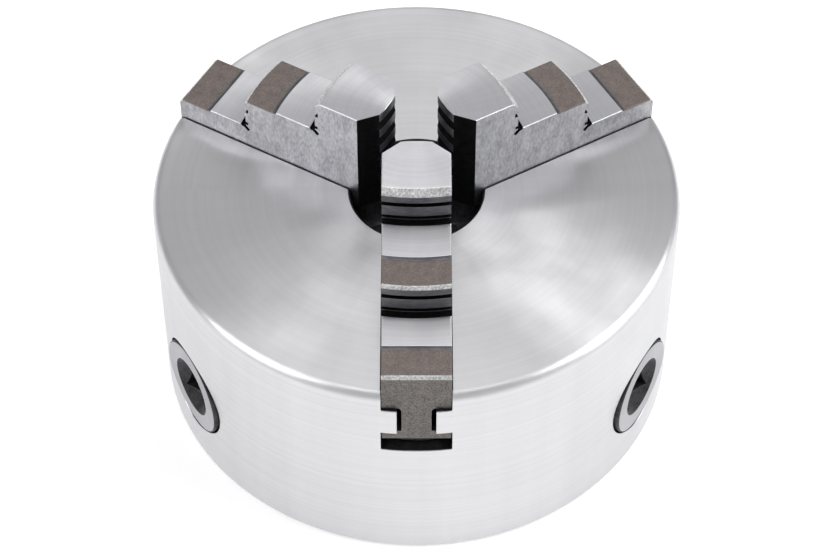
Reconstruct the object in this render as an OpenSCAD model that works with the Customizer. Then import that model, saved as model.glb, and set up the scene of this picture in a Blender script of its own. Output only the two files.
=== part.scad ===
// Self-centring three-jaw lathe chuck: body, scroll, pinions, stepped jaws, back cover and screws.
// The origin is the centre of the mounting face, on the spindle axis. +Z points out through the jaws.

/* [Body] */
// Outside diameter of the chuck body
body_d = 125; // [120:1:160]
// Height of the body, from the mounting face to the front face
body_h = 58; // [56:0.5:75]
// Diameter of the bore through the body
bore_d = 30; // [20:0.5:30]
// Diameter of the wider mouth of the bore, from the slot floors to the front face
mouth_bore_d = 31.4; // [31:0.2:37]
// Chamfer where the bore meets the front face
bore_chamfer = 0.4; // [0.2:0.1:1]
// Radius that rounds the front edge of the rim
rim_radius = 2; // [0.5:0.1:4]
// Chamfer on the back edge of the rim
back_chamfer = 0.8; // [0.2:0.1:2]
// Wall of the hub, between the bore and the scroll plate
hub_wall = 5.5; // [4.5:0.5:7]

/* [Mounting] */
// Diameter of the register recess that centres the chuck on its backplate
register_d = 95; // [94:1:98]
// Depth of the register recess
register_depth = 4; // [3:0.5:6]
// Pitch circle diameter of the three mounting holes
mount_pcd = 108; // [107:1:112]
// Tapping diameter of the mounting holes
mount_hole_d = 6.8; // [5:0.1:8.5]
// Depth of the mounting holes
mount_hole_depth = 16; // [10:1:20]

/* [Jaws] */
// Width of each jaw block
jaw_w = 15.8; // [14:0.1:18]
// Distance from the spindle axis to the tip of each jaw as drawn
jaw_tip_r = 7.4; // [5:0.1:12]
// Width of the curved tip of each jaw
jaw_tip_w = 7.2; // [5:0.1:8]
// Radius of the curved tip of each jaw
tip_round = 20; // [16:1:60]
// Radial depth over which the nose widens to the full jaw
nose_depth = 3.6; // [3:0.1:5]
// Length of each jaw, from its tip to its outer end
jaw_l = 53.9; // [50:0.1:60]
// Height of the first and tallest step above the front face
step_1_h = 25; // [22:0.5:32]
// Height of the second step above the front face
step_2_h = 15.6; // [12:0.1:20]
// Height of the third step above the front face
step_3_h = 6.5; // [4:0.1:10]
// Length of the first step, from the tip to its riser
step_1_l = 16.1; // [12:0.1:20]
// Length of the second step, from riser to riser
step_2_l = 19.6; // [16:0.1:22]
// Radius of the two curved risers
riser_r = 45; // [25:1:60]
// Chamfer along the top edge of each riser
riser_chamfer = 1.5; // [0.5:0.1:2]
// Length of the rough strip at the outer end of the second and third steps
rough_l = 8.2; // [4:0.1:10]
// Depth of the rough strip below the ground tread
rough_drop = 0.4; // [0.1:0.1:1]
// Length of the ramp from the ground tread down to the rough strip
rough_ramp = 0.6; // [0.2:0.1:1]

/* [Jaw grooves] */
// Height of the plain land above the first groove across the nose
nose_land = 2.6; // [1:0.1:4]
// Spacing of the four grooves across the nose
nose_groove_pitch = 5.2; // [4:0.1:5.2]
// Height of each groove across the nose
nose_groove_h = 2.5; // [1:0.1:3]
// Depth of each groove across the nose
nose_groove_depth = 0.8; // [0.2:0.1:1.2]
// Height of the plain land above the upper groove in each riser
riser_land = 2; // [1:0.1:2.5]
// Height of the upper groove in each riser
riser_groove_h = 1.2; // [0.5:0.1:1.5]
// Height of the lower groove in each riser
foot_groove_h = 0.9; // [0.5:0.1:1.2]
// Depth of the grooves in each riser
riser_groove_depth = 0.9; // [0.3:0.1:1.2]
// Length of tread that the relief at the foot of each riser takes
relief_l = 1.5; // [1.2:0.1:2.5]
// Depth of the slanted relief below the tread
relief_depth = 1.5; // [1.2:0.1:2]
// Width of the slanted relief
relief_w = 1; // [0.6:0.1:1.2]

/* [Jaw guides] */
// Depth of the jaw block below the front face
jaw_sink = 5; // [4:0.1:6]
// Width of the neck that runs between the guide ribs
neck_w = 6.8; // [5:0.1:8]
// Height of the guide ribs in the body
rib_h = 8.2; // [6:0.1:10]
// Width of the slot between the guide ribs
rib_gap_w = 8.9; // [8.6:0.1:10]
// Width of the foot under the guide ribs
foot_w = 15.8; // [14:0.1:18]
// Thickness of the foot
foot_t = 2.8; // [2:0.1:4]

/* [Scroll] */
// Pitch of the scroll thread
scroll_pitch = 8; // [7.5:0.1:10]
// Width of the thread ridge
ridge_w = 3.6; // [3:0.1:4]
// Height of the thread ridge
ridge_h = 3.4; // [2.5:0.1:4]
// Outside diameter of the scroll plate
scroll_d = 80.8; // [76:0.2:84]
// Metal between the thread and the roots of the bevel teeth
scroll_web = 4.4; // [3:0.1:6]
// Thickness of the scroll plate's inner rim below the thread
scroll_hub_t = 9; // [7:0.5:10]

/* [Pinions] */
// Number of teeth on each pinion
pinion_teeth = 12; // [10:2:16]
// Turns of a pinion for one turn of the scroll plate
gear_ratio = 4; // [4:1:4]
// Face width of the bevel teeth
gear_face = 10; // [6:0.5:12]
// Diameter of the pinion journal in the body
journal_d = 24.9; // [24:0.1:28]
// Diameter of the trunnion at the inner end of each pinion
trunnion_d = 8; // [6:0.1:10]
// Width across flats of the square key socket
key_w = 9.5; // [8:0.1:11]
// Depth of the key socket
key_depth = 15; // [10:0.5:16]
// Diameter of the countersunk mouth of the key socket
mouth_d = 15; // [14:0.1:17]

/* [Cover and screws] */
// Thickness of the back cover
cover_t = 3.5; // [2.5:0.1:4]
// Number of screws in the back cover
cover_screws = 6; // [3:3:6]
// Width of the ledge in the body that the cover rests against
cover_ledge = 1; // [0.8:0.1:1.5]
// Diameter of the cover screws
cover_screw_d = 2.5; // [2:0.1:2.6]
// Length of the cover screws
cover_screw_l = 8; // [6:0.5:10]
// Diameter of the screws that retain the pinions
dog_screw_d = 6; // [5:0.5:7]
// Diameter of the dog point on each pinion screw
dog_d = 2.5; // [2:0.1:3]

/* [Clearances] */
// Gap on each side of a sliding jaw
slide_gap = 0.1; // [0.05:0.01:0.3]
// Radial gap of a running journal
run_gap = 0.05; // [0.02:0.01:0.1]
// Gap between parts that turn past each other
free_gap = 0.35; // [0.3:0.05:0.6]
// Play between the bevel teeth at the pitch circle
backlash = 0.35; // [0.2:0.05:0.6]

/* [Hidden] */
$fn = 96;
eps = 0.01;

// Places around the spindle axis
jaw_angles = [-90, 30, 150];
pinion_angles = [-30, 90, 210];

// Heights, worked down from the front face
block_z = body_h - jaw_sink;
rib_top = block_z - slide_gap;
rib_bottom = rib_top - rib_h;
foot_z = rib_bottom - slide_gap - foot_t;
ridge_top = foot_z - free_gap;
ceiling_z = ridge_top + free_gap / 2;
plate_z = ridge_top - ridge_h;
tooth_h = ridge_h - free_gap;
slot_floor = foot_z - tooth_h - free_gap;
plate_bottom = plate_z - scroll_hub_t;
mouth_z = slot_floor - 0.5;

// Radii
body_r = body_d / 2;
bore_r = bore_d / 2;
mouth_bore_r = mouth_bore_d / 2;
hub_r = bore_r + hub_wall;
scroll_r = scroll_d / 2;
cavity_r = scroll_r + free_gap;
scroll_bore_r = hub_r + run_gap;
thread_in_r = scroll_bore_r + 1;
register_r = register_d / 2;

// Bevel gears: both pitch cones meet at the point where the pinion axis crosses the spindle axis
gear_r = scroll_r - 0.4;
pitch_r = gear_r / gear_ratio;
gear_teeth = pinion_teeth * gear_ratio;
tooth_module = 2 * pitch_r / pinion_teeth;
pressure_angle = 25;
tooth_add = 0.9 * tooth_module;
tooth_ded = 1.1 * tooth_module;
tooth_t = PI * tooth_module / 2 - backlash / 2;
axis_z = plate_z - scroll_web - pitch_r - tooth_ded;
small_end = (gear_r - gear_face) / gear_r;

// Pinion stations along its axis, measured from the spindle axis
head_r = body_r - 0.1;
head_l = 3.2;
head_chamfer = 0.3;
head_d = journal_d - 2 * free_gap - 0.2;
socket_r = journal_d / 2 + run_gap;
journal_start = cavity_r + 0.75;
trunnion_in = bore_r + 1.2;
groove_r = body_r - 8.5;
groove_w = dog_d + 2 * free_gap;
groove_depth = 2;

// Jaw stations, measured from the spindle axis
end_r = jaw_tip_r + jaw_l;
tip_sag = tip_round - sqrt(tip_round * tip_round - jaw_tip_w * jaw_tip_w / 4);
riser_1 = jaw_tip_r + step_1_l;
riser_2 = riser_1 + step_2_l;
top_1 = body_h + step_1_h;
top_2 = body_h + step_2_h;
top_3 = body_h + step_3_h;

// Scroll thread and jaw teeth
thread_phase = 0;
segments = 60;
jaw_tooth_t = scroll_pitch - ridge_w - 3 * free_gap;
tooth_outer_r = 20;
tooth_inner_r = 60;

// Back cover and its screws
cover_z = register_depth;
cover_top = cover_z + cover_t;
cover_seat_r = register_r - cover_ledge;
cover_r = cover_seat_r - run_gap;
cover_screw_r = (cavity_r + cover_seat_r) / 2;
cover_head_d = 1.85 * cover_screw_d;
cover_head_h = (cover_head_d - cover_screw_d) / 2;
support_in = hub_r + 2;
support_out = hub_r + 7;
support_angle = 56;

// --- shared shapes ---

// Radius of the thread's centre line at polar angle a, for an Archimedean spiral
function spiral_r(a) = thread_phase + scroll_pitch * a / 360;

// Point at radius r and angle a
function polar(r, a) = [r * cos(a), r * sin(a)];

// Roll angle of an involute at radius r, from base radius b
function roll(r, b) = r <= b ? 0 : sqrt(r * r / (b * b) - 1) * 180 / PI - acos(b / r);

// Half the angle that a pinion tooth spans at radius r
function half_tooth(r, b) = tooth_t / (2 * pitch_r) * 180 / PI + roll(pitch_r, b) - roll(r, b);

// Arc of radius r about c, from angle a0 to a1, as n + 1 points
function arc(c, r, a0, a1, n = 6) = [for (i = [0:n]) c + polar(r, a0 + (a1 - a0) * i / n)];

// Puts a piece drawn along +X at one place around the spindle axis
module at_angle(a) {
    rotate([0, 0, a]) children();
}

// Puts a piece drawn along +Z onto the pinion axis at one place around the body
module on_pinion_axis(a) {
    rotate([0, 0, a]) translate([0, 0, axis_z]) rotate([0, 90, 0]) children();
}

// Cylinder between two heights
module rod(r, z0, z1) {
    translate([0, 0, z0]) cylinder(r = r, h = z1 - z0);
}

// Straight channel of one width along +X, from the spindle axis past the rim
module channel(w, z0, z1) {
    translate([0, -w / 2, z0]) cube([body_r + 2, w, z1 - z0]);
}

// --- body ---

module body_turning() {
    rim = arc([body_r - rim_radius, body_h - rim_radius], rim_radius, 0, 90);
    rotate_extrude() polygon(concat(
        [[bore_r, 0], [register_r, 0], [body_r - back_chamfer, 0], [body_r, back_chamfer]],
        rim,
        [[mouth_bore_r + bore_chamfer, body_h], [mouth_bore_r, body_h - bore_chamfer],
            [mouth_bore_r, mouth_z], [bore_r, mouth_z]]
    ));
}

// Recess for the backplate register, and the narrower seat of the back cover behind it
module register_recess() {
    rod(register_r, -1, register_depth);
    rod(cover_seat_r, -1, cover_top);
}

// Ring-shaped cavity that holds the scroll plate and the bevel teeth
module scroll_cavity() {
    difference() {
        rod(cavity_r, cover_top - 1, ceiling_z);
        rod(hub_r, cover_top - 2, ceiling_z + 1);
    }
}

// T-slot for one jaw
module jaw_slot() {
    channel(jaw_w + 2 * slide_gap, rib_top, body_h + 1);
    channel(rib_gap_w, rib_bottom - 1, rib_top + 1);
    channel(foot_w + 4 * slide_gap, slot_floor, rib_bottom);
}

// Radial bore for one pinion, drawn along +Z
module pinion_bore() {
    rod(socket_r, cavity_r - 4, body_r + 1);
    rod(trunnion_d / 2 + run_gap, trunnion_in, hub_r + 1);
}

module chuck_body() {
    color("silver") difference() {
        body_turning();
        difference() {
            register_recess();
            rod(hub_r, register_depth, cover_top + 1);
        }
        scroll_cavity();
        for (a = jaw_angles) at_angle(a) {
            jaw_slot();
            translate([mount_pcd / 2, 0, 0]) rod(mount_hole_d / 2, -1, mount_hole_depth);
        }
        for (a = pinion_angles) {
            on_pinion_axis(a) pinion_bore();
            at_angle(a) translate([groove_r, 0, 0]) rod(dog_screw_d / 2, -1, axis_z);
        }
        for (i = [1:cover_screws]) at_angle(360 / cover_screws * i)
            translate([cover_screw_r, 0, 0])
                rod(cover_screw_d / 2, 0, cover_z + cover_screw_l + 1);
    }
}

// --- scroll plate ---

// Spiral ridge as a flat outline
module ridge_outline() {
    first = 360 * (thread_in_r - scroll_pitch) / scroll_pitch;
    last = 360 * (scroll_r + scroll_pitch) / scroll_pitch;
    steps = ceil((last - first) / 360 * segments);
    angles = [for (i = [0:steps]) first + (last - first) * i / steps];
    polygon(concat(
        [for (a = angles) polar(spiral_r(a) - ridge_w / 2, a)],
        [for (i = [steps:-1:0]) polar(spiral_r(angles[i]) + ridge_w / 2, angles[i])]
    ));
}

module thread() {
    intersection() {
        translate([0, 0, plate_z - eps]) linear_extrude(ridge_h + eps) ridge_outline();
        difference() {
            rod(scroll_r, plate_z - 1, ridge_top + 1);
            rod(thread_in_r, plate_z - 2, ridge_top + 2);
        }
    }
}

// Height of the bevel gear's root cone at radius r
function root_z(r) = axis_z + r * (pitch_r + tooth_ded) / gear_r;

// Bevel gear section drawn at the large end, narrowing towards the point where the cones meet
module bevel(outline) {
    translate([0, 0, gear_r]) mirror([0, 0, 1])
        linear_extrude(height = gear_face, scale = small_end) polygon(outline);
}

// One tooth of the scroll plate's bevel gear, at polar angle 0
module crown_tooth() {
    root_half = tooth_t / 2 + tooth_ded * tan(pressure_angle);
    tip_half = tooth_t / 2 - tooth_add * tan(pressure_angle);
    low = pitch_r - tooth_add;
    high = pitch_r + tooth_ded + 0.4;
    on_pinion_axis(0) bevel([
        [-low, -tip_half], [-low, tip_half], [-high, root_half], [-high, -root_half]
    ]);
}

module scroll_plate() {
    inner = gear_r * small_end;
    color("darkgray") union() {
        rotate_extrude() polygon([
            [scroll_bore_r, plate_bottom], [inner - 2, plate_bottom], [inner - 2, root_z(inner)],
            [inner, root_z(inner)], [scroll_r, root_z(scroll_r)], [scroll_r, plate_z],
            [scroll_bore_r, plate_z]
        ]);
        thread();
        for (i = [0:gear_teeth - 1]) at_angle(360 / gear_teeth * i) crown_tooth();
    }
}

// --- pinions ---

// Outline of the pinion teeth at their large end
function pinion_outline() =
    let (b = pitch_r * cos(pressure_angle),
         root = pitch_r - tooth_add - 0.2 * tooth_module,
         tip = pitch_r + 0.9 * tooth_module,
         n = 4,
         radii = concat([root], [for (i = [0:n]) b + (tip - b) * i / n]),
         m = len(radii) - 1)
    [for (k = [0:pinion_teeth - 1], s = [-1, 1], i = [0:m])
        let (r = radii[s < 0 ? i : m - i])
        polar(r, 360 / pinion_teeth * (k + 0.5) + s * half_tooth(r, b))];

// One pinion, drawn along +Z with the spindle axis at z = 0
module pinion_shape() {
    journal_r = journal_d / 2;
    neck_r = pitch_r - tooth_add - 0.6;
    difference() {
        union() {
            rod(trunnion_d / 2, trunnion_in + free_gap, gear_r);
            bevel(pinion_outline());
            rod(neck_r, gear_r - 1, journal_start + 1);
            rod(journal_r, journal_start, groove_r - groove_w / 2);
            rod(journal_r - groove_depth, groove_r - groove_w / 2 - 1, groove_r + groove_w / 2 + 1);
            rod(journal_r, groove_r + groove_w / 2, head_r - head_l);
            rod(head_d / 2, head_r - head_l - 1, head_r - head_chamfer);
            translate([0, 0, head_r - head_chamfer])
                cylinder(r1 = head_d / 2, r2 = head_d / 2 - head_chamfer, h = head_chamfer);
        }
        translate([-key_w / 2, -key_w / 2, head_r - key_depth])
            cube([key_w, key_w, key_depth + 1]);
        translate([0, 0, head_r - (mouth_d - key_w) / 2])
            cylinder(r1 = key_w / 2, r2 = mouth_d / 2 + eps, h = (mouth_d - key_w) / 2 + eps);
    }
}

module pinion(i) {
    color("gainsboro") on_pinion_axis(pinion_angles[i]) pinion_shape();
}

// Grub screw with a dog point that sits in the pinion's groove
module pinion_screw(i) {
    point = axis_z - journal_d / 2 + groove_depth - free_gap;
    shoulder = axis_z - socket_r - 0.5;
    color("dimgray") at_angle(pinion_angles[i]) translate([groove_r, 0, 0]) difference() {
        union() {
            rod(dog_screw_d / 2, 1, shoulder);
            rod(dog_d / 2, shoulder - 1, point);
        }
        translate([0, 0, 1 - eps]) cylinder(d = dog_screw_d / 2, h = 3, $fn = 6);
    }
}

// --- back cover ---

// Countersunk screw with its head at z = 0
module cover_screw_shape(gap) {
    rod(cover_screw_d / 2 + gap, 0, cover_screw_l);
    cylinder(r1 = cover_head_d / 2 + gap, r2 = cover_screw_d / 2 + gap, h = cover_head_h);
}

module back_cover() {
    color("slategray") difference() {
        union() {
            rod(cover_r, cover_z, cover_top);
            for (a = jaw_angles) at_angle(a - support_angle / 2)
                rotate_extrude(angle = support_angle)
                    translate([support_in, cover_top - 1])
                        square([support_out - support_in, plate_bottom - cover_top + 1 - free_gap]);
        }
        rod(hub_r + run_gap, cover_z - 1, plate_bottom);
        for (i = [1:cover_screws]) at_angle(360 / cover_screws * i)
            translate([cover_screw_r, 0, cover_z - eps]) cover_screw_shape(run_gap);
    }
}

module cover_screw(i) {
    if (i <= cover_screws) color("dimgray") at_angle(360 / cover_screws * i)
        translate([cover_screw_r, 0, cover_z]) difference() {
            cover_screw_shape(0);
            translate([0, 0, -eps]) cylinder(d = cover_screw_d * 0.65, h = 1.2, $fn = 6);
        }
}

// --- jaws ---

// Ground tread with a rough strip at its outer end and a chamfer down to the riser at x = r
function tread(r, top) = [
    [r - rough_l - rough_ramp, top], [r - rough_l, top - rough_drop],
    [r - riser_chamfer / 2, top - rough_drop], [r, top - rough_drop - riser_chamfer / 2]
];

// Step whose riser is a cylinder of radius riser_r
module step_block(r, crest) {
    intersection() {
        translate([r - riser_r, 0, 0])
            rotate_extrude() polygon(concat([[0, block_z], [riser_r, block_z]],
                [for (i = [len(crest) - 1:-1:0]) crest[i] + [riser_r, 0]],
                [[0, crest[0][1]]]));
        translate([jaw_tip_r, -jaw_w / 2, block_z]) cube([jaw_l, jaw_w, top_1]);
    }
}

// Third step, with a flat outer end
module end_block() {
    rotate([90, 0, 0]) translate([0, 0, -jaw_w / 2]) linear_extrude(jaw_w)
        polygon(concat([[jaw_tip_r, block_z], [jaw_tip_r, top_3]], tread(end_r, top_3),
            [[end_r, block_z]]));
}

// Cuts in a riser at radius r: two level grooves, and a relief that slants in at its foot
module riser_cuts(r, edge, foot) {
    out = 1;
    step = relief_depth / 3;
    slant = relief_w / sqrt(2);
    deep = step - relief_depth;
    lip = 0.2;
    bottom = riser_r - riser_groove_depth;
    translate([r - riser_r, 0, 0]) rotate_extrude() union() {
        translate([bottom, edge - riser_land - riser_groove_h])
            square([riser_groove_depth + out, riser_groove_h]);
        translate([bottom + lip, foot + 3 * lip])
            square([riser_groove_depth - lip + out, foot_groove_h]);
        polygon([
            [riser_r + relief_l, foot + lip], [riser_r + relief_l, foot],
            [riser_r + relief_l - step, foot - step], [riser_r + step, foot - step],
            [riser_r + step + deep, foot - relief_depth],
            [riser_r + step + deep - slant, foot - relief_depth + slant],
            [riser_r - lip, foot + lip]
        ]);
    }
}

// One tooth under the foot, centred on radius r: convex outside, concave inside
module foot_tooth(r) {
    outer = r + jaw_tooth_t / 2 - tooth_outer_r;
    inner = r - jaw_tooth_t / 2 - tooth_inner_r;
    intersection() {
        difference() {
            translate([outer, 0, 0]) rod(tooth_outer_r, foot_z - tooth_h, foot_z + 1);
            translate([inner, 0, 0]) rod(tooth_inner_r, foot_z - tooth_h - 1, foot_z + 2);
        }
        translate([r - scroll_pitch / 2, -foot_w / 2, foot_z - tooth_h])
            cube([scroll_pitch, foot_w, tooth_h + 1]);
    }
}

// Everything outside one flank of the nose
module nose_flank(side) {
    rise = (jaw_w - jaw_tip_w) / 2;
    start = jaw_tip_r + tip_sag;
    linear_extrude(top_1 + 1) polygon([
        [start - 1, side * (jaw_tip_w / 2 - rise / nose_depth)],
        [start + 3 * nose_depth, side * (jaw_tip_w / 2 + 3 * rise)],
        [start - 1, side * (jaw_tip_w / 2 + 3 * rise)]
    ]);
}

// Everything in front of the curved tip, and the grooves across it
module tip_cuts() {
    difference() {
        translate([jaw_tip_r - 1, -jaw_w, 0]) cube([1 + tip_sag, 2 * jaw_w, top_1 + 1]);
        translate([jaw_tip_r + tip_round, 0, 0]) rod(tip_round, -1, top_1 + 2);
    }
    for (k = [0:3])
        translate([jaw_tip_r - 1, -jaw_w, top_1 - nose_land - nose_groove_h - k * nose_groove_pitch])
            cube([1 + nose_groove_depth, 2 * jaw_w, nose_groove_h]);
}

// One jaw along +X; its teeth sit midway between the thread's ridges at its own angle
module jaw_shape(angle) {
    first = spiral_r(angle) + scroll_pitch / 2;
    low = ceil((jaw_tip_r + 5 - first) / scroll_pitch);
    high = floor((end_r - 3 - first) / scroll_pitch);
    difference() {
        union() {
            step_block(riser_1, [[-riser_chamfer, top_1], [0, top_1 - riser_chamfer]]);
            step_block(riser_2, tread(0, top_2));
            end_block();
            translate([jaw_tip_r, -neck_w / 2, foot_z + eps])
                cube([jaw_l, neck_w, block_z - foot_z]);
            translate([jaw_tip_r, -foot_w / 2, foot_z]) cube([jaw_l, foot_w, foot_t]);
            for (k = [low:high]) foot_tooth(first + k * scroll_pitch);
        }
        riser_cuts(riser_1, top_1 - riser_chamfer, top_2);
        riser_cuts(riser_2, top_2 - rough_drop - riser_chamfer / 2, top_3);
        for (side = [-1, 1]) nose_flank(side);
        tip_cuts();
    }
}

module jaw(i) {
    color("lightgray") at_angle(jaw_angles[i]) jaw_shape(jaw_angles[i]);
}

chuck_body();
scroll_plate();
back_cover();
cover_screw(1);  // cover_screw_1
cover_screw(2);  // cover_screw_2
cover_screw(3);  // cover_screw_3
cover_screw(4);  // cover_screw_4
cover_screw(5);  // cover_screw_5
cover_screw(6);  // cover_screw_6
pinion(0);  // pinion_1
pinion(1);  // pinion_2
pinion(2);  // pinion_3
pinion_screw(0);  // pinion_screw_1
pinion_screw(1);  // pinion_screw_2
pinion_screw(2);  // pinion_screw_3
jaw(0);  // jaw_1
jaw(1);  // jaw_2
jaw(2);  // jaw_3
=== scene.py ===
# %% [markdown]
# # A three-jaw lathe chuck
# A self-centring chuck holds round work in a lathe. Its body is one piece of turned steel, three
# stepped jaws slide in its T-slots, and a square key turns a pinion in the rim, which turns a
# hidden scroll that moves all three jaws at once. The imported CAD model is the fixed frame: it
# says where every part is. This lesson gives each part the surface that its own machining left.

# %% Load the frame
from math import ceil, cos, floor, pi, radians, sin

import bmesh
import bpy
import numpy as np
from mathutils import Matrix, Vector


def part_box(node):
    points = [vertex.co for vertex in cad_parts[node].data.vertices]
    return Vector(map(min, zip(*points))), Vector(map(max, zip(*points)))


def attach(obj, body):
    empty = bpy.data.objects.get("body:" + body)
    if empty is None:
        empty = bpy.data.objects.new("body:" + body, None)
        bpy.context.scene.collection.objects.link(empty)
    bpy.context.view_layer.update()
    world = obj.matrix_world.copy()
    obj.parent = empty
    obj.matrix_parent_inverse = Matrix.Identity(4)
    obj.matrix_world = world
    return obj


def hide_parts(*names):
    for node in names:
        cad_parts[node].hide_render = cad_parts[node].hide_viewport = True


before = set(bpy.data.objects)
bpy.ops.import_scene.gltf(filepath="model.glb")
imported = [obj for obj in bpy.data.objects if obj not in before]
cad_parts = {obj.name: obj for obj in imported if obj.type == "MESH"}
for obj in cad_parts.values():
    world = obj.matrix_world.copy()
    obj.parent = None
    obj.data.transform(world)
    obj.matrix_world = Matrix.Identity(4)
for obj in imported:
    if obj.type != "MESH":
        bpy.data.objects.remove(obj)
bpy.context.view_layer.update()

MM = 0.001

# %% [markdown]
# ## Sizes
# Places come from the frame: the body's box gives the rim and the front face, a jaw's box gives
# its tip, its end and its foot, and a pinion's box gives the height of its axis. Only the small
# details that a box can't give, such as the lands and grooves of a riser, are named here in
# millimetres.

# %% Read the driving sizes
def box_mm(node):
    """Lowest and highest corner of a CAD node, in millimetres."""
    return [np.array(corner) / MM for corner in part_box(node)]


body_high = box_mm("chuck_body")[1]
jaw_low, jaw_high = box_mm("jaw_1")
pinion_low, pinion_high = box_mm("pinion_2")
BODY_R = body_high[0]
FACE_Z = body_high[2]
JAW_HALF_W = jaw_high[0]
JAW_TIP = -jaw_high[1]
JAW_END = -jaw_low[1]
TOOTH_Z = jaw_low[2]
STEP_1_Z = jaw_high[2]
AXIS_Z = (pinion_low[2] + pinion_high[2]) / 2
HEAD_R = pinion_high[1]
JAW_ANGLES = {"jaw_1": -90, "jaw_2": 30, "jaw_3": 150}
PINION_ANGLES = {"pinion_1": -30, "pinion_2": 90, "pinion_3": 210}
print("rim radius", BODY_R, "face", FACE_Z, "jaw from", JAW_TIP, "to", JAW_END, "axis", AXIS_Z)

# %% [markdown]
# ## Three small helpers
# Every material is a graph of nodes, so one function adds a node, sets it up and links it. A
# colour is written as it looks on a screen, in sRGB hex, and turned to the linear light that a
# shader needs. Patterns are measured on the object in millimetres.

# %% Colours and nodes
def linear(hex_colour):
    """sRGB hex to linear RGBA: a channel c becomes ((c + 0.055) / 1.055) to the power 2.4."""
    c = np.array([int(hex_colour[i:i + 2], 16) for i in (1, 3, 5)]) / 255
    c = np.where(c > 0.04045, ((c + 0.055) / 1.055) ** 2.4, c / 12.92)
    return (*c.tolist(), 1.0)


def add(tree, kind, inputs=None, **settings):
    """Adds one node. A socket given as an input is linked; any other value is set."""
    node = tree.nodes.new(kind)
    for name, value in settings.items():
        setattr(node, name, value)
    for key, value in (inputs or {}).items():
        if isinstance(value, bpy.types.NodeSocket):
            tree.links.new(value, node.inputs[key])
        else:
            node.inputs[key].default_value = value
    return node


def steel(name, roughness, anisotropic=0.0):
    """Starts a bare-metal material: its tree, its shader and object coordinates in millimetres."""
    material = bpy.data.materials.new(name)
    material.use_nodes = True
    tree = material.node_tree
    shader = tree.nodes["Principled BSDF"]
    shader.inputs["Metallic"].default_value = 1.0
    shader.inputs["Roughness"].default_value = roughness
    shader.inputs["Anisotropic"].default_value = anisotropic
    place = add(tree, "ShaderNodeTexCoord").outputs["Object"]
    mm = add(tree, "ShaderNodeMapping", {"Vector": place, "Scale": (1 / MM,) * 3})
    return material, tree, shader, mm.outputs["Vector"]


def cloud(tree, vector, size_mm, detail=3.0, stretch=(1, 1, 1)):
    """Soft noise from 0 to 1, with patches about size_mm across, times stretch along each axis."""
    scale = [1 / (size_mm * s) for s in stretch]
    mapped = add(tree, "ShaderNodeMapping", {"Vector": vector, "Scale": scale})
    return add(tree, "ShaderNodeTexNoise", {"Vector": mapped.outputs["Vector"], "Scale": 1.0,
                                            "Detail": detail}).outputs["Fac"]


def span(tree, value, low, high, start=0.0, end=1.0):
    """Rescales value from low..high to start..end, held at both ends."""
    return add(tree, "ShaderNodeMapRange", {"Value": value, "From Min": low, "From Max": high,
                                            "To Min": start, "To Max": end}).outputs["Result"]


def blend(tree, factor, dark, light):
    """Mixes two hex colours, or sockets, by a factor."""
    dark, light = (linear(c) if isinstance(c, str) else c for c in (dark, light))
    return add(tree, "ShaderNodeMix", {0: factor, 6: dark, 7: light}, data_type="RGBA").outputs[2]


def maths(tree, operation, a, b=0.0):
    """One sum on two numbers."""
    return add(tree, "ShaderNodeMath", {0: a, 1: b}, operation=operation).outputs[0]


def grain(tree, shader):
    """Feeds the shader's tangent with each mesh's own direction across the tool marks."""
    across = add(tree, "ShaderNodeAttribute", attribute_name="grain").outputs["Vector"]
    turned = add(tree, "ShaderNodeVectorTransform", {"Vector": across}, vector_type="VECTOR",
                 convert_from="OBJECT", convert_to="WORLD")
    tree.links.new(turned.outputs["Vector"], shader.inputs["Tangent"])


def polar_mm(tree, mm):
    """Turns x, y, z into radius, a position around the circle in mm at radius 40, and z."""
    xyz = add(tree, "ShaderNodeSeparateXYZ", {0: mm})
    flat = add(tree, "ShaderNodeCombineXYZ", {"X": xyz.outputs["X"], "Y": xyz.outputs["Y"]})
    radius = add(tree, "ShaderNodeVectorMath", {0: flat.outputs[0]}, operation="LENGTH")
    angle = maths(tree, "ARCTAN2", xyz.outputs["Y"], xyz.outputs["X"])
    around = maths(tree, "MULTIPLY", angle, 40.0)
    return add(tree, "ShaderNodeCombineXYZ", {"X": radius.outputs["Value"], "Y": around,
                                              "Z": xyz.outputs["Z"]}).outputs[0]


def bump(tree, shader, height, depth_mm):
    """Raises the surface by height, 0 to 1, times depth_mm."""
    node = add(tree, "ShaderNodeBump", {"Height": height, "Strength": 1.0,
                                        "Distance": depth_mm * MM})
    tree.links.new(node.outputs["Normal"], shader.inputs["Normal"])


# %% [markdown]
# ## Turned and ground steel
# A lathe tool leaves fine grooves that run around the axis. Light spreads across such grooves and
# not along them, which is what draws bright wedges on a turned face. The shader's anisotropy does
# this, and its tangent has to point across the grooves, so every mesh carries that direction as
# an attribute. Faint rings and soft stains keep the surface from looking like a perfect mirror.

# %% Turned and ground materials
def turned(name, light, dark, roughness, anisotropic, ring_mm=0.8, rub=0.06):
    """Steel with concentric tool marks: faint rings across the grain and soft stains."""
    material, tree, shader, mm = steel(name, roughness, anisotropic)
    polar = polar_mm(tree, mm)
    rings = cloud(tree, polar, ring_mm, 2.0, (1, 300, 1))
    stains = cloud(tree, mm, 14.0, 4.0)
    streaks = cloud(tree, polar, 3.0, 3.0, (60, 1, 60))
    tone = maths(tree, "ADD", maths(tree, "MULTIPLY", rings, 0.4),
                 maths(tree, "ADD", maths(tree, "MULTIPLY", stains, 0.4),
                       maths(tree, "MULTIPLY", streaks, 0.2)))
    colour = blend(tree, span(tree, tone, 0.35, 0.65), dark, light)
    tree.links.new(colour, shader.inputs["Base Color"])
    rough = span(tree, stains, 0.3, 0.7, roughness - rub, roughness + rub)
    tree.links.new(rough, shader.inputs["Roughness"])
    grain(tree, shader)
    return material


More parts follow.
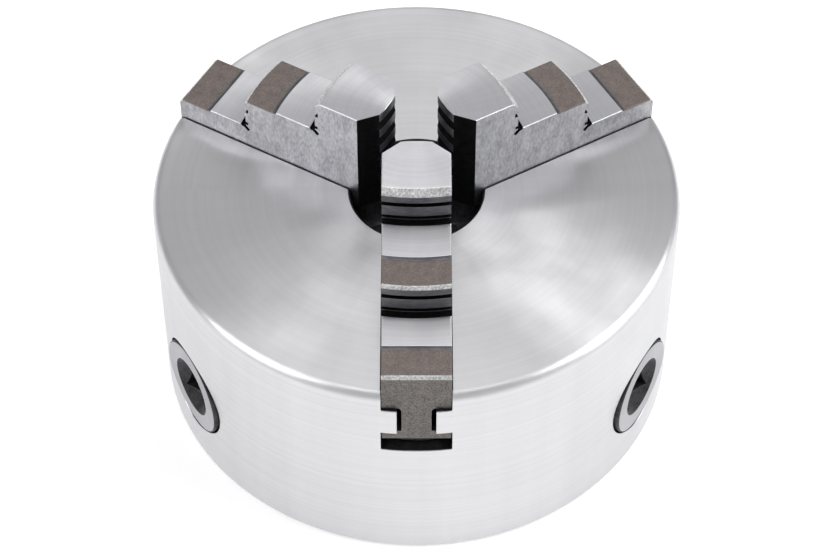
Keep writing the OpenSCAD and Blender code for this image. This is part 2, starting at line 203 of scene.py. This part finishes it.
# Turned front: fine rings about the spindle axis, so light fans out in wedges.
turned_face = turned("turned_face", "#EDEDEE", "#E2E2E4", 0.36, 0.85)
# Turned rim and back: the same marks but coarser, so the light is wider and softer.
turned_wall = turned("turned_wall", "#DADADB", "#CECED1", 0.40, 0.6)
# Ground treads: the finest marks, brighter and smoother than the turned front.
ground_tread = turned("ground_tread", "#F2F2F4", "#E0E0E5", 0.32, 0.88, 0.5, 0.05)
# Pinion heads: turned and slightly dulled by hardening, so they look greyer.
pinion_face = turned("pinion_face", "#B2B1B6", "#A09FA5", 0.34, 0.6, 0.5)
print("turned and ground materials made")

# %% [markdown]
# ## Milled, cast and unground steel
# Inside the slots and bores the cutter leaves duller metal, and their dark colour is painted
# shade.
# The jaws are hardened, which leaves a dark skin, and only the treads and the sides are ground
# bright after that. The outer end of each lower tread, the risers, the chamfers and the end face
# keep the dark or rough skin, and the grooves and the nose's flanks are painted near black as
# shade.

# %% Milled and unground materials
def mottled(name, light, dark, roughness, grain_mm, stretch=(1, 1, 1), depth_mm=0.0, spots=0.0):
    """Dull steel whose tone is broken into patches of grain_mm, with finer grains inside them."""
    material, tree, shader, mm = steel(name, roughness)
    patches = cloud(tree, mm, grain_mm * 5, 3.0, stretch)
    grains = cloud(tree, mm, grain_mm, 5.0, stretch)
    tone = maths(tree, "ADD", maths(tree, "MULTIPLY", patches, 0.5 - spots / 2),
                 maths(tree, "MULTIPLY", grains, 0.5 + spots / 2))
    tree.links.new(blend(tree, span(tree, tone, 0.36, 0.64), dark, light),
                   shader.inputs["Base Color"])
    if depth_mm:
        bump(tree, shader, grains, depth_mm)
    return material


# Slots, bores and sockets: dull cutter marks, and a dark colour that is painted shade, as little
# light gets in.
recess_painted_shade = mottled("recess_painted_shade", "#505052", "#363638", 0.5, 0.6)
# Jaw flanks: bright but cloudy, with marks that run upwards.
jaw_side = mottled("jaw_side", "#B8B8BB", "#8E8E92", 0.42, 0.5, (1, 1, 2.5), 0.01, 0.2)
# Sawn end of a jaw: dark, coarse and speckled.
jaw_end = mottled("jaw_end", "#827D79", "#565452", 0.55, 0.4, depth_mm=0.03, spots=0.6)
# Lands of the risers and the nose: grey hardened skin, and their grooves painted almost black, as
# shade.
riser_skin = mottled("riser_skin", "#858588", "#67676B", 0.42, 0.5, (3, 3, 1))
groove_painted_shade = mottled("groove_painted_shade", "#2A2A2C", "#1A1A1C", 0.6, 0.4)
# Painted shade: near black for the grooves, the reliefs at the risers' feet and the nose's flanks.
# Rough chamfer of each step: bright grains over grey.
rough_chamfer = mottled("rough_chamfer", "#F4F4F4", "#B0B0B0", 0.6, 0.45, depth_mm=0.03, spots=0.5)
# Rough strip that the wheel left: brown-grey skin.
unground = mottled("unground", "#988E89", "#786F6B", 0.6, 0.35, depth_mm=0.015, spots=0.4)
# Hidden scroll and gears: plain dark steel, and the screws blackened.
dark_steel = mottled("dark_steel", "#77777A", "#5A5A5E", 0.42, 0.6)
screw_black = mottled("screw_black", "#3A3A3E", "#2A2A2D", 0.4, 0.6)
print("materials in all:", len(bpy.data.materials))

# %% [markdown]
# ## The jaw's outline
# One jaw is milled along its length, so its shape is an outline in radius and height. From the tip
# it goes along the bottom, up the end face, over a chamfer, along a rough strip and a ground tread
# to the next riser. Each riser has two grooves, and a slanted relief runs into the corner at its
# foot, where a grinding wheel can't reach. Every corner is rounded a little, as a stone leaves it.

# %% Outline of a jaw in radius and height
JAW_SINK = 5.0
STEP_1_L, STEP_2_L = 16.1, 19.6
STEP_2_Z, STEP_3_Z = FACE_Z + 15.6, FACE_Z + 6.5
ROUGH_L, ROUGH_DROP, CHAMFER = 8.2, 0.4, 1.5
RISER_R = 45.0
BLOCK_Z = FACE_Z - JAW_SINK
RISER_1, RISER_2 = JAW_TIP + STEP_1_L, JAW_TIP + STEP_1_L + STEP_2_L
TIP_HALF, NOSE_SLOPE, TIP_ROUND = 3.6, 3.6 / 4.3, 20.0
NOSE_LAND, NOSE_PITCH, NOSE_GROOVE_H, NOSE_GROOVE = 2.6, 5.2, 2.5, 0.8
RISER_LAND, RISER_GROOVE_H, RISER_GROOVE_DEPTH = 2.0, 1.2, 0.9
FOOT_GROOVE_LOW, FOOT_GROOVE_HIGH, FOOT_GROOVE_DEPTH = 0.62, 1.5, 0.7
# Slanted relief at a riser's foot, as (outwards, upwards, rounding) from the foot's corner
RELIEF = [(1.5, 0, 0.1), (1.0, -0.5, 0.1), (0.55, -0.5, 0.1), (-0.45, -1.5, 0.2),
          (-1.16, -0.79, 0.2), (-0.2, 0.17, 0.03)]
RELIEF_TOP, RAMP_L, RAMP_BORDER = 0.25, 0.6, 0.4
KINDS = [jaw_side, ground_tread, unground, rough_chamfer, riser_skin, groove_painted_shade, jaw_end]
SIDE, TREAD, STRIP, BEVEL, RISER, GROOVE, END = range(7)


def over_the_edge(r, top):
    """Rough strip and chamfer of a lower step, walked inwards from its riser at radius r."""
    half = CHAMFER / 2
    return [(r, top - ROUGH_DROP - half, BEVEL, 0.2), (r - half, top - ROUGH_DROP, STRIP, 0.25),
            (r - ROUGH_L + RAMP_BORDER, top - ROUGH_DROP, RISER, 0.05),
            (r - ROUGH_L, top - ROUGH_DROP, RISER, 0.15),
            (r - ROUGH_L - RAMP_L, top, TREAD, 0.12)]


def up_the_riser(r, foot, top):
    """A riser walked upwards: the relief, then lands and grooves. Each corner is (r, z, kind of
    the stretch after it, rounding).
    """
    low, high = foot + FOOT_GROOVE_LOW, foot + FOOT_GROOVE_HIGH
    deep, deepest = r - FOOT_GROOVE_DEPTH, r - RISER_GROOVE_DEPTH
    upper = top - RISER_LAND
    lower = upper - RISER_GROOVE_H
    # The relief gets the groove material, which is painted shade.
    relief = [(r + out, foot + up, GROOVE, rounding) for out, up, rounding in RELIEF]
    return relief + [(r, foot + RELIEF_TOP, RISER, 0.06), (r, low, GROOVE, 0.06),
                     (deep, low, GROOVE, 0.1), (deep, high, GROOVE, 0.1),
                     (r, high, RISER, 0.1), (r, lower, GROOVE, 0.15),
                     (deepest, lower, GROOVE, 0.1), (deepest, upper, GROOVE, 0.1),
                     (r, upper, RISER, 0.1)]


def down_the_nose(top):
    """Four level grooves across the tip, walked downwards, so that it bites into the work."""
    points = []
    for k in range(4):
        z = top - NOSE_LAND - NOSE_PITCH * k
        low, deep = z - NOSE_GROOVE_H, JAW_TIP + NOSE_GROOVE
        points += [(JAW_TIP, z, GROOVE, 0.15), (deep, z, GROOVE, 0.15),
                   (deep, low, GROOVE, 0.15), (JAW_TIP, low, RISER, 0.15)]
    return points


outline = ([(JAW_TIP, BLOCK_Z, SIDE, 0.0), (JAW_END, BLOCK_Z, END, 0.0)]
           + over_the_edge(JAW_END, STEP_3_Z)
           + up_the_riser(RISER_2, STEP_3_Z, STEP_2_Z - ROUGH_DROP - CHAMFER / 2)
           + over_the_edge(RISER_2, STEP_2_Z)
           + up_the_riser(RISER_1, STEP_2_Z, STEP_1_Z - CHAMFER)
           + [(RISER_1, STEP_1_Z - CHAMFER, BEVEL, 0.25),
              (RISER_1 - CHAMFER, STEP_1_Z, TREAD, 0.2),
              (JAW_TIP, STEP_1_Z, RISER, 0.2)]
           + down_the_nose(STEP_1_Z))
print("corners in a jaw's outline:", len(outline))


# %% Round the corners
HOLD = 0.05
GROOVED_REACH, EDGE_ROUND = 1.8, 0.2


def soften(corners, steps=4):
    """Rounds each corner by a quadratic curve p(s) = (1-s)^2 a + 2 s (1-s) b + s^2 c.

    b is the corner, and a and c lie its rounding back along both edges, held to 0.4 of the edge.
    An extra point HOLD away on either side keeps the flats flat when the surface is shaded.
    Returns the points, the kind of each stretch after a point and each point's outward normal.
    """
    xy = np.array([c[:2] for c in corners])
    before, after = np.roll(xy, 1, 0), np.roll(xy, -1, 0)
    points, kinds = [], []
    for i, (r, z, kind, radius) in enumerate(corners):
        last = corners[i - 1][2]
        back, ahead = before[i] - xy[i], after[i] - xy[i]
        lb, la = np.hypot(*back), np.hypot(*ahead)
        reach = min(radius, 0.4 * lb, 0.4 * la)
        if reach < 0.01:
            points.append(xy[i])
            kinds.append(kind)
            continue
        a, c = xy[i] + back / lb * reach, xy[i] + ahead / la * reach
        if lb > 8 * HOLD + 2 * reach:
            points.append(a + back / lb * HOLD)
            kinds.append(last)
        for s in np.linspace(0, 1, steps + 1):
            points.append((1 - s) ** 2 * a + 2 * s * (1 - s) * xy[i] + s * s * c)
            kinds.append(last if s < 0.5 else kind)
        if la > 8 * HOLD + 2 * reach:
            points.append(c + ahead / la * HOLD)
            kinds.append(kind)
    points = np.array(points)
    along = np.roll(points, -1, 0) - np.roll(points, 1, 0)
    normal = np.stack([along[:, 1], -along[:, 0]], 1)
    return points, np.array(kinds), normal / np.linalg.norm(normal, axis=1)[:, None]


profile, profile_kind, profile_normal = soften(outline)
print("points after rounding:", len(profile))

# %% [markdown]
# ## Sweeping the block
# The outline is swept across the jaw's width. The risers are arcs of radius 45 mm about an axis
# nearer the spindle, so their points move back by the arc's sagitta at t from the middle. The
# tip is pushed back by its own arc and then by the two flats that narrow the nose. Near the sides
# the outline shrinks a little, which rounds the long edges. This is faster and cleaner than
# cutting a solid, and every stretch of the outline keeps the finish that it had on the machine.

# %% Sweep functions
def sagitta(t, radius):
    """How far an arc of this radius falls back at t from its middle: R - sqrt(R^2 - t^2)."""
    return radius - np.sqrt(radius ** 2 - t ** 2)


def nose_back(t):
    """How far the tip lies back at t: the sagitta R - sqrt(R^2 - t^2), then NOSE_SLOPE per mm."""
    t = np.abs(t)
    return sagitta(np.minimum(t, TIP_HALF), TIP_ROUND) + np.maximum(t - TIP_HALF, 0) * NOSE_SLOPE


def across_stations(half, radius):
    """Stations t across the width, and how much the outline shrinks at each one."""
    turn = np.linspace(0, pi / 2, 5)
    edge = half - radius + radius * np.sin(turn)
    shrink = radius * (1 - np.cos(turn))
    inner = np.concatenate([np.linspace(0, TIP_HALF, 7)[:-1], [TIP_HALF - 0.1, TIP_HALF + 0.1],
                            np.linspace(TIP_HALF + 0.8, half - radius - HOLD, 6)])
    t = np.concatenate([inner, edge])
    s = np.concatenate([np.zeros(len(inner)), shrink])
    return np.concatenate([-t[:0:-1], t]), np.concatenate([s[:0:-1], s])


def block_grid():
    """Points (r, t, z) of the block: the outline at every station across the width.

    The thin lands between a riser's grooves don't shrink, or the outline would fold over itself.
    """
    t, shrink = across_stations(JAW_HALF_W, EDGE_ROUND)
    r, z = profile[:, 0], profile[:, 1]
    dark = np.isin(profile_kind, (RISER, GROOVE))
    grooved = dark | np.roll(dark, 1)
    grooved &= np.minimum(abs(r - RISER_1), abs(r - RISER_2)) < GROOVED_REACH
    shrink = shrink[:, None] * ~grooved
    curved = np.zeros(len(r))
    for riser, top in ((RISER_1, STEP_1_Z), (RISER_2, STEP_2_Z)):
        near = (r > riser - ROUGH_L - 1.0) & (r < riser + 1.6) & (z < top + 0.1)
        near &= (z > BLOCK_Z + 5.0)
        curved[near] = 1.0
    tip = r < JAW_TIP + NOSE_GROOVE + 0.1
    grid = np.empty((len(t), len(r), 3))
    grid[:, :, 0] = r - shrink * profile_normal[:, 0] * (r < JAW_END - 0.001)
    grid[:, :, 0] -= curved * sagitta(t, RISER_R)[:, None]
    front = JAW_TIP + nose_back(t)[:, None]
    grid[:, :, 0] = np.where(tip, np.maximum(grid[:, :, 0], front), grid[:, :, 0])
    grid[:, :, 1] = t[:, None]
    grid[:, :, 2] = z - shrink * profile_normal[:, 1] * (z > BLOCK_Z + 0.001)
    return grid


def tube(grid, caps=True):
    """Faces of a closed loop swept along: the grid is (stations, loop points, 3)."""
    n, m = grid.shape[:2]
    i, j = np.meshgrid(np.arange(n - 1), np.arange(m), indexing="ij")
    k = (j + 1) % m
    quads = np.stack([i * m + j, i * m + k, (i + 1) * m + k, (i + 1) * m + j], -1).reshape(-1, 4)
    faces = quads.tolist()
    if caps:
        faces += [list(range(m - 1, -1, -1)), list(range((n - 1) * m, n * m))]
    return grid.reshape(-1, 3), faces


block = block_grid()
print("block grid:", block.shape)


# %% Neck, foot and the teeth below it
NECK_HALF, FOOT_HALF, FOOT_T, RIB_H, GAP = 3.4, 7.9, 2.8, 8.2, 0.1
PITCH, RIDGE_W, FREE = 8.0, 3.6, 0.35
TEETH = {name: PITCH / 2 + PITCH * angle / 360 for name, angle in JAW_ANGLES.items()}
TOOTH_T = PITCH - RIDGE_W - 3 * FREE
FOOT_Z = BLOCK_Z - GAP - RIB_H - GAP - FOOT_T


def foot_grid():
    """The T of neck and foot swept outwards: r runs from the nose to the end face."""
    corners = [(-NECK_HALF - 0.7, BLOCK_Z, 0, 0), (-NECK_HALF, BLOCK_Z - 0.7, 0, 0.4),
               (-NECK_HALF, FOOT_Z + FOOT_T, 0, 0.3), (-FOOT_HALF, FOOT_Z + FOOT_T, 0, 0.25),
               (-FOOT_HALF, FOOT_Z, 0, 0.25), (FOOT_HALF, FOOT_Z, 0, 0.25),
               (FOOT_HALF, FOOT_Z + FOOT_T, 0, 0.25), (NECK_HALF, FOOT_Z + FOOT_T, 0, 0.3),
               (NECK_HALF, BLOCK_Z - 0.7, 0, 0.4), (NECK_HALF + 0.7, BLOCK_Z, 0, 0)]
    loop = soften(corners, 3)[0]
    part = np.linspace(0, 1, 3)[:, None]
    start = JAW_TIP + nose_back(loop[:, 0])
    grid = np.empty((3, len(loop), 3))
    grid[:, :, 0] = start * (1 - part) + JAW_END * part
    grid[:, :, 1] = loop[:, 0]
    grid[:, :, 2] = loop[:, 1]
    return grid


def tooth_grid(r):
    """One curved tooth: its outside is an arc of 20 mm and its inside one of 60 mm."""
    t = np.linspace(-FOOT_HALF + 0.05, FOOT_HALF - 0.05, 17)[:, None]
    out, into = r + TOOTH_T / 2 - sagitta(t, 20), r - TOOTH_T / 2 - sagitta(t, 60)
    into = np.maximum(into, JAW_TIP + nose_back(t) + 0.1)
    loop_z = np.array([FOOT_Z + 0.5, TOOTH_Z, TOOTH_Z, FOOT_Z + 0.5])
    grid = np.empty((17, 4, 3))
    grid[:, :, 0] = np.concatenate([into, into, out, out], 1)
    grid[:, :, 1] = t
    grid[:, :, 2] = loop_z
    return grid


def tooth_places(name):
    """Centre radii of the teeth of one jaw; the scroll's spiral shifts them from jaw to jaw."""
    first = TEETH[name]
    low, high = ceil((JAW_TIP + 5 - first) / PITCH), floor((JAW_END - 3 - first) / PITCH)
    return [first + k * PITCH for k in range(low, high + 1)]


print("teeth:", {name: len(tooth_places(name)) for name in TEETH})

# %% [markdown]
# ## From grids to objects
# A mesh is filled from the arrays at once. Each face gets the finish of its stretch of the
# outline, and each point the direction across its grinding marks. The whole jaw is turned to its
# place as numbers, so the object itself stays at the origin.

# %% Build the three jaws
def build(name, parts, angle, materials):
    """One object from several shells, each (points, faces, kinds, grains), turned by angle."""
    points, faces, kinds, grains = [], [], [], []
    start = 0
    for p, f, k, g in parts:
        points.append(p)
        faces += [[v + start for v in face] for face in f]
        kinds.append(k)
        grains.append(g)
        start += len(p)
    c, s = cos(radians(angle)), sin(radians(angle))
    turn = np.array([[c, s, 0], [-s, c, 0], [0, 0, 1]])
    mesh = bpy.data.meshes.new(name)
    mesh.from_pydata((np.concatenate(points) @ turn * MM).tolist(), [], faces)
    for material in materials:
        mesh.materials.append(material)
    mesh.polygons.foreach_set("material_index", np.concatenate(kinds).astype(np.int32))
    attribute = mesh.attributes.new("grain", "FLOAT_VECTOR", "POINT")
    across = (np.concatenate(grains) @ turn).astype(np.float32)
    attribute.data.foreach_set("vector", across.ravel())
    mesh.set_sharp_from_angle(angle=radians(28))
    piece = bpy.data.objects.new(name, mesh)
    bpy.context.scene.collection.objects.link(piece)
    return piece


def jaw_parts(name):
    """The shells of one jaw: block, neck and foot, and teeth."""
    points, faces = tube(block)
    n, m = block.shape[:2]
    middle = np.abs(block[1:, :1, 1] + block[:-1, :1, 1]) / 2
    # The nose's slanted flanks get the groove material, painted near black as shade.
    flank = (middle > TIP_HALF) & (profile[:, 0] < JAW_TIP + 1) & (profile_kind == RISER)
    kinds = np.append(np.where(flank, GROOVE, profile_kind).ravel(), [SIDE, SIDE])
    angle = radians(JAW_ANGLES[name])
    flat = np.stack([points[:, 0], points[:, 1], np.zeros(len(points))], 1)
    upright = np.tile(profile_kind == RISER, n)
    flat[upright] = (0, 0, 1)
    grains = flat / np.maximum(np.linalg.norm(flat, axis=1), 1e-6)[:, None]
    parts = [(points, faces, kinds, grains)]
    foot_points, foot_faces = tube(foot_grid())
    foot_kinds = np.full(len(foot_faces), SIDE)
    foot_kinds[-1] = END
    upwards = np.tile((0, 0, 1.0), (len(foot_points), 1))
    parts.append((foot_points, foot_faces, foot_kinds, upwards))
    for r in tooth_places(name):
        p, f = tube(tooth_grid(r))
        parts.append((p, f, np.full(len(f), SIDE), np.tile((0, 0, 1.0), (len(p), 1))))
    return parts


def outward(piece):
    """Turns every shell of a mesh so that its faces look outwards."""
    edit = bmesh.new()
    edit.from_mesh(piece.data)
    bmesh.ops.recalc_face_normals(edit, faces=edit.faces)
    edit.to_mesh(piece.data)
    edit.free()


for name, angle in JAW_ANGLES.items():
    piece = build("steel_" + name, jaw_parts(name), angle, KINDS)
    outward(piece)
    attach(piece, name)
    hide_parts(name)
    print(piece.name, len(piece.data.polygons), "faces")

# %% [markdown]
# ## The body and the turned parts
# The body, pinions, cover and screws already have their true shape in the CAD model. A welded copy
# of each gets small bevels on its sharp edges, because a machinist breaks every edge with a file
# and light always catches there. Faces are then sorted by where they lie and how they face, so
# the turned front and the turned rim get their own finish, and the milled slots and the bores get
# a dark colour that is painted shade.

# %% Copy, bevel and sort
def beveled_copy(node, width_mm, segments=2):
    """A welded copy of a CAD node with bevels of width_mm on edges sharper than 35 degrees."""
    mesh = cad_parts[node].data.copy()
    edit = bmesh.new()
    edit.from_mesh(mesh)
    bmesh.ops.remove_doubles(edit, verts=edit.verts, dist=2e-6)
    bmesh.ops.dissolve_limit(edit, angle_limit=radians(0.5), verts=edit.verts, edges=edit.edges)
    edit.to_mesh(mesh)
    edit.free()
    if mesh.has_custom_normals:
        mesh.attributes.remove(mesh.attributes["custom_normal"])
    piece = bpy.data.objects.new("steel_" + node, mesh)
    bpy.context.scene.collection.objects.link(piece)
    for polygon_flag in ("sharp_face", "sharp_edge"):
        if polygon_flag in mesh.attributes:
            mesh.attributes.remove(mesh.attributes[polygon_flag])
    mesh.set_sharp_from_angle(angle=radians(35))
    bevel = piece.modifiers.new("edges", "BEVEL")
    bevel.width = width_mm * MM
    bevel.segments = segments
    bevel.limit_method = "ANGLE"
    bevel.angle_limit = radians(35)
    bevel.use_clamp_overlap = False
    soft = piece.modifiers.new("normals", "WEIGHTED_NORMAL")
    soft.keep_sharp = False
    soft.weight = 90
    bpy.context.view_layer.update()
    graph = bpy.context.evaluated_depsgraph_get()
    final = bpy.data.meshes.new_from_object(piece.evaluated_get(graph))
    piece.modifiers.clear()
    piece.data = final
    return piece


def faces_of(mesh):
    """Centres (mm) and normals of every face, as arrays."""
    centre = np.empty(len(mesh.polygons) * 3)
    normal = np.empty(len(mesh.polygons) * 3)
    mesh.polygons.foreach_get("center", centre)
    mesh.polygons.foreach_get("normal", normal)
    return centre.reshape(-1, 3) / MM, normal.reshape(-1, 3)


def paint(piece, materials, kinds):
    """Gives each face the material with its number in kinds."""
    piece.data.materials.clear()
    for material in materials:
        piece.data.materials.append(material)
    piece.data.polygons.foreach_set("material_index", kinds.astype(np.int32))


def turned_grain(piece, through, axis):
    """Stores at each corner the direction across the tool marks: (axis x p) x normal."""
    mesh = piece.data
    _, normal = faces_of(mesh)
    size = np.empty(len(mesh.polygons), np.int32)
    mesh.polygons.foreach_get("loop_total", size)
    normal = np.repeat(normal, size, 0)
    vertex = np.empty(len(mesh.loops), np.int32)
    mesh.loops.foreach_get("vertex_index", vertex)
    points = np.empty(len(mesh.vertices) * 3)
    mesh.vertices.foreach_get("co", points)
    p = points.reshape(-1, 3)[vertex] / MM - through
    across = np.cross(np.cross(axis, p), normal)
    length = np.linalg.norm(across, axis=1)[:, None]
    across = np.where(length > 1e-3, across / np.maximum(length, 1e-3), (0, 0, 1.0))
    attribute = mesh.attributes.new("grain", "FLOAT_VECTOR", "CORNER")
    attribute.data.foreach_set("vector", across.astype(np.float32).ravel())


def settle(piece, node, body):
    """The copy rides on its body and stands for its CAD node."""
    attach(piece, body)
    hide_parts(node)


# %% The body
UP = np.array([0, 0, 1.0])
RIM_ROUND = 2.0
body = beveled_copy("chuck_body", 0.2)
centre, normal = faces_of(body.data)
radius = np.hypot(centre[:, 0], centre[:, 1])
outward_share = (normal[:, :2] * centre[:, :2]).sum(1) / radius
# Faces not sorted below, in the slots and bores, keep the dark recess colour: painted shade.
kinds = np.full(len(centre), 2)
kinds[(radius > BODY_R - RIM_ROUND - 0.3) & (outward_share > 0.3)] = 1
kinds[(centre[:, 2] > FACE_Z - 0.1) & (normal[:, 2] > 0.99)] = 0
kinds[(radius > BODY_R - RIM_ROUND - 0.1) & (normal[:, 2] > 0.6)] = 0
kinds[(centre[:, 2] < 0.5) & (normal[:, 2] < -0.5)] = 1
paint(body, [turned_face, turned_wall, recess_painted_shade], kinds)
turned_grain(body, np.zeros(3), UP)
settle(body, "chuck_body", "chuck")
print("body faces:", len(centre), "by finish:", np.bincount(kinds))

# %% [markdown]
# ## Pinions, cover, scroll and screws
# Each pinion shows only its head in the rim: a turned ring around a square socket that a file has
# finished. The cover is a turned steel disc held by six black countersunk screws, and the scroll
# behind it shows only through the slots, so it keeps its CAD surface with a darker steel.

# %% The smaller steel parts
HEAD_DEPTH, SOCKET_DEPTH = 3.5, 16.0
for name, angle in PINION_ANGLES.items():
    piece = beveled_copy(name, 0.12)
    centre, normal = faces_of(piece.data)
    axis = np.array([cos(radians(angle)), sin(radians(angle)), 0])
    through = np.array([0, 0, AXIS_Z])
    along = (centre - through) @ axis
    facing = normal @ axis
    # Faces off the head's front, such as its socket, get the dark recess colour: painted shade.
    kinds = np.where((along > HEAD_R - HEAD_DEPTH) & (facing > 0.9), 0, 2)
    kinds[along < HEAD_R - SOCKET_DEPTH] = 1
    paint(piece, [pinion_face, dark_steel, recess_painted_shade], kinds)
    turned_grain(piece, through, axis)
    settle(piece, name, name)

cover = beveled_copy("back_cover", 0.15)
centre, normal = faces_of(cover.data)
paint(cover, [turned_wall, dark_steel], np.where(normal[:, 2] < -0.3, 0, 1))
turned_grain(cover, np.zeros(3), UP)
settle(cover, "back_cover", "chuck")

plain = {"scroll_plate": dark_steel}
plain.update({"cover_screw_%d" % i: screw_black for i in range(1, 7)})
plain.update({"pinion_screw_%d" % i: screw_black for i in range(1, 4)})
for node, material in plain.items():
    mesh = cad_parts[node].data
    mesh.materials.clear()
    mesh.materials.append(material)
print("small parts finished")

# %% [markdown]
# ## Floor, light and camera
# The floor is plain and pale. Steel has no colour of its own, so it shows what surrounds it: a big
# softbox on each side draws the bright wedges on the turned front. A weak one behind and one
# overhead light the treads.

# %% Stage
floor_mesh = bpy.data.meshes.new("floor")
floor_mesh.from_pydata([(-6, -6, 0), (6, -6, 0), (6, 6, 0), (-6, 6, 0)], [], [(0, 1, 2, 3)])
floor_piece = bpy.data.objects.new("floor", floor_mesh)
floor_piece.location.z = -0.0002
bpy.context.scene.collection.objects.link(floor_piece)
paper = bpy.data.materials.new("pale_paper")
paper.use_nodes = True
paper_shader = paper.node_tree.nodes["Principled BSDF"]
for socket, value in (("Base Color", (0.93, 0.93, 0.93, 1)), ("Roughness", 0.9),
                      ("Emission Color", (1, 1, 1, 1)), ("Emission Strength", 0.35)):
    paper_shader.inputs[socket].default_value = value
floor_mesh.materials.append(paper)

world = bpy.data.worlds.new("studio")
world.use_nodes = True
world.node_tree.nodes["Background"].inputs["Color"].default_value = (0.9, 0.9, 0.92, 1)
world.node_tree.nodes["Background"].inputs["Strength"].default_value = 0.42
bpy.context.scene.world = world


def aim(item, target):
    """Turns an object's -Z towards target, with its +Y upwards."""
    direction = Vector(target) - item.location
    item.rotation_euler = direction.to_track_quat("-Z", "Y").to_euler()


def softbox(name, azimuth, elevation, width, height, radiance, distance=2.0):
    """An area light with its centre in a direction, aimed at the chuck, of a given radiance."""
    light = bpy.data.lights.new(name, "AREA")
    light.shape = "RECTANGLE"
    light.size, light.size_y = width, height
    light.energy = radiance * pi * width * height
    item = bpy.data.objects.new(name, light)
    a, e = radians(azimuth), radians(elevation)
    item.location = (distance * cos(e) * cos(a), distance * cos(e) * sin(a), distance * sin(e))
    aim(item, (0, 0, 0.05))
    bpy.context.scene.collection.objects.link(item)
    return item


softbox("right_box", 6, 48, 1.4, 1.3, 3.9)
softbox("left_box", -165, 52, 0.9, 1.1, 4.2)
softbox("back_box", 90, 52, 0.6, 1.2, 0.25)
softbox("top_box", 90, 80, 0.8, 0.8, 1.8)

camera_data = bpy.data.cameras.new("camera")
camera_data.lens = 118.7
camera_data.sensor_width = 36.0
camera = bpy.data.objects.new("camera", camera_data)
camera.location = (0, -0.4329, 0.5449)
aim(camera, (0, 0, 0.0253))
bpy.context.scene.collection.objects.link(camera)
bpy.context.scene.camera = camera
bpy.context.scene.view_settings.view_transform = "Standard"
